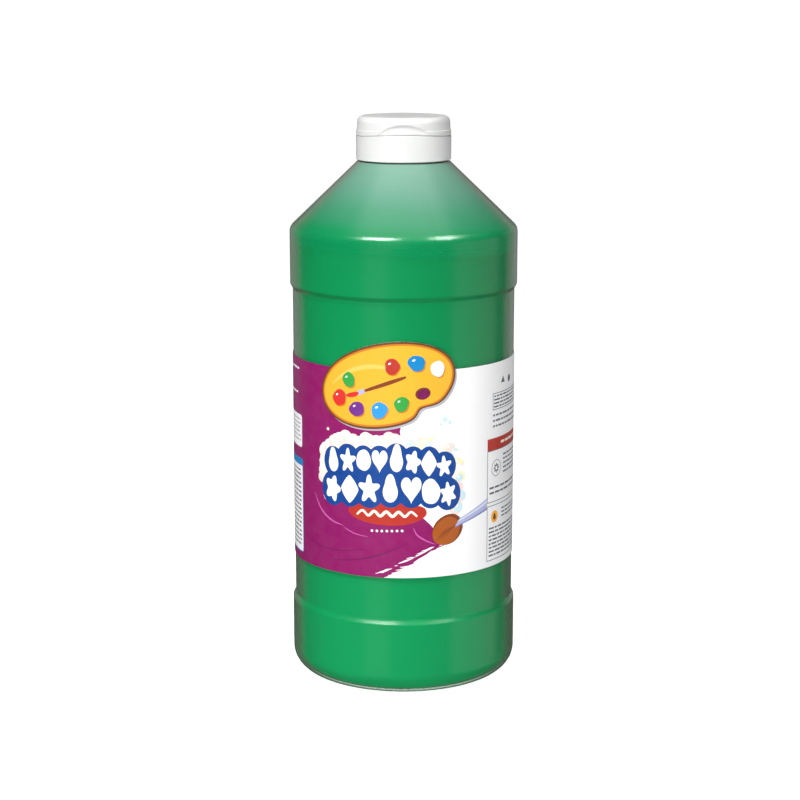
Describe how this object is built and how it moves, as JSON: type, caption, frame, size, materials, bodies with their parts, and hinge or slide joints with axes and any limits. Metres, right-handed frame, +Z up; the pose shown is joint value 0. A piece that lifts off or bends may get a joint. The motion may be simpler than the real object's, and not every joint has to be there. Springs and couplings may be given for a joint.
{
  "type": "paint bottle",
  "caption": "Round squeeze bottle of green tempera paint with a recessed label panel, conical shoulder and snap-top screw cap.",
  "frame": {"origin": "centre of the standing ring, on the surface that the bottle stands on", "axes": "+Z up along the bottle; -Y towards the thumb scoop and the middle of the label; +Y towards the lid's hinge"},
  "size_m": [0.087, 0.087, 0.2158],
  "materials": {
    "natural_hdpe": "satin, translucent",
    "tempera_paint": "wet, opaque liquid",
    "label_film": "semi-gloss printed film",
    "seal_foil": "satin",
    "foam": "matte closed-cell foam",
    "white_polypropylene": "satin"
  },
  "bodies": {
    "bottle": {"bottle": "natural_hdpe", "paint_fill": "tempera_paint", "wrap_label": "label_film", "foil_seal": "seal_foil"},
    "liner": {"foam_liner": "foam"},
    "cap": {"cap_body": "white_polypropylene", "living_hinge": "white_polypropylene"},
    "lid": {"flip_lid": "white_polypropylene"}
  },
  "joints": [
    {"name": "cap_lift", "type": "slide", "parent": "bottle", "child": "liner", "axis": [0, 0, 1], "range_m": [0, 0.012]},
    {"name": "cap_turn", "type": "hinge", "parent": "liner", "child": "cap", "pos_m": [0, 0, 0.2], "axis": [0, 0, 1], "range_deg": [0, 1020]},
    {"name": "lid_hinge", "type": "hinge", "parent": "cap", "child": "lid", "pos_m": [0, 0.01862, 0.2093], "axis": [-1, 0, 0], "range_deg": [0, 150], "deforming": ["living_hinge"]}
  ],
  "couplings": [
    {"joint": "cap_lift", "follows": "cap_turn", "m_per_rad": 0.0006737}
  ]
}
